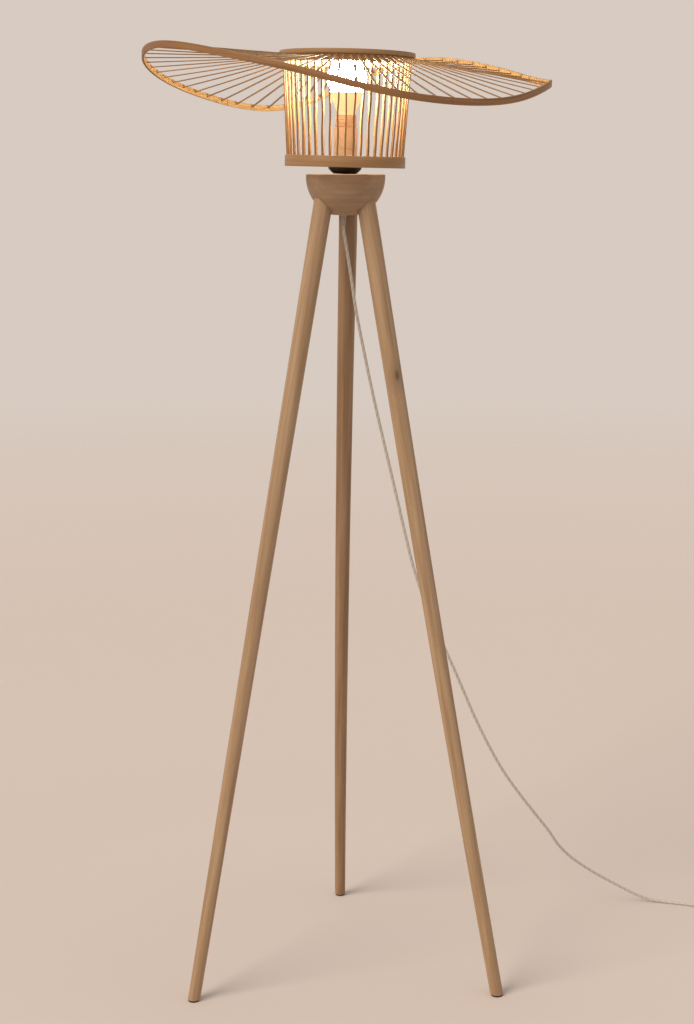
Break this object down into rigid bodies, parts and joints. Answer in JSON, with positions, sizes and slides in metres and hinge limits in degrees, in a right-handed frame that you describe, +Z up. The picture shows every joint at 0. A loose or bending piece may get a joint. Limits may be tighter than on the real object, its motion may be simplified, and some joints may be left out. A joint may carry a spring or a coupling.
{
  "type": "floor lamp",
  "caption": "Bamboo floor lamp: wooden tripod in a half-ball hub, strip drum shade with a wide wavy brim, globe bulb, corded rocker switch and plug.",
  "frame": {"origin": "on the floor, on the axis of the tripod", "axes": "+Z up, -Y towards the side seen in the picture, +X to its right"},
  "size_m": [1.0423, 0.6224, 1.4887],
  "materials": {
    "leg_wood": "waxed, fine straight grain along the leg",
    "hub_wood": "turned and waxed",
    "bamboo_hoop": "bent bamboo lath, satin",
    "bamboo_strip": "split bamboo strip, satin",
    "black_steel": "satin black",
    "zinc_steel": "zinc plated",
    "brass": "plain",
    "fibre": "pressed fibre",
    "cream_plastic": "smooth",
    "ceramic": "glazed",
    "opal_glass": "opal, lit",
    "bulb_metal": "rolled thread",
    "white_plastic": "moulded",
    "foot_rubber": "plain",
    "clear_sheath": "clear soft sheath",
    "blue_core": "insulated core",
    "brown_core": "insulated core"
  },
  "bodies": {
    "stand": {"hub": "hub_wood", "leg_back": "leg_wood", "leg_left": "leg_wood", "leg_right": "leg_wood", "leg_bolt_back": "zinc_steel", "leg_bolt_left": "zinc_steel", "leg_bolt_right": "zinc_steel", "foot_pad_back": "foot_rubber", "foot_pad_left": "foot_rubber", "foot_pad_right": "foot_rubber", "threaded_rod": "zinc_steel", "rod_washer": "zinc_steel", "rod_nut": "zinc_steel", "cord_bush": "white_plastic", "seat_cup": "black_steel", "fibre_washer": "fibre", "lampholder_cap": "cream_plastic", "lampholder_body": "cream_plastic", "contact_block": "ceramic", "screw_shell": "brass", "centre_contact": "brass", "terminal_line": "brass", "terminal_neutral": "brass", "cord_in_rod": "clear_sheath", "core_line": "brown_core", "core_neutral": "blue_core", "cord_run": "clear_sheath", "switch_base": "white_plastic", "switch_cover": "white_plastic", "switch_screw": "zinc_steel", "switch_relief_in": "white_plastic", "switch_relief_out": "white_plastic", "cord_lead": "clear_sheath", "cord_coil": "clear_sheath", "cord_tail": "clear_sheath", "plug_relief": "white_plastic", "plug_body": "white_plastic", "plug_pin_line": "zinc_steel", "plug_pin_neutral": "zinc_steel"},
    "bulb": {"bulb_tip": "brass", "bulb_insulator": "foot_rubber", "bulb_cap": "bulb_metal", "bulb_base": "white_plastic", "bulb_globe": "opal_glass"},
    "shade": {"shade_spider": "black_steel", "spider_screw_1": "zinc_steel", "spider_screw_2": "zinc_steel", "spider_screw_3": "zinc_steel", "bottom_hoop_outer": "bamboo_hoop", "bottom_hoop_inner": "bamboo_hoop", "top_hoop_outer": "bamboo_hoop", "top_hoop_inner": "bamboo_hoop", "drum_strips": "bamboo_strip", "brim_collar": "bamboo_hoop", "brim_strips": "bamboo_strip", "brim_lath_outer": "bamboo_hoop", "brim_lath_inner": "bamboo_hoop"},
    "rocker": {"switch_rocker": "white_plastic"}
  },
  "joints": [
    {"name": "shade_turn", "type": "hinge", "parent": "stand", "child": "shade", "pos_m": [0, 0, 1.2975], "axis": [0.0209, 0, 0.9998], "range_deg": [-180, 180]},
    {"name": "bulb_lift", "type": "slide", "parent": "stand", "child": "bulb", "axis": [0.0209, 0, 0.9998], "range_m": [0, 0.15]},
    {"name": "switch_press", "type": "hinge", "parent": "stand", "child": "rocker", "pos_m": [0.722, 0.095, 0.0165], "axis": [1, 0, 0], "range_deg": [-14, 0]}
  ]
}
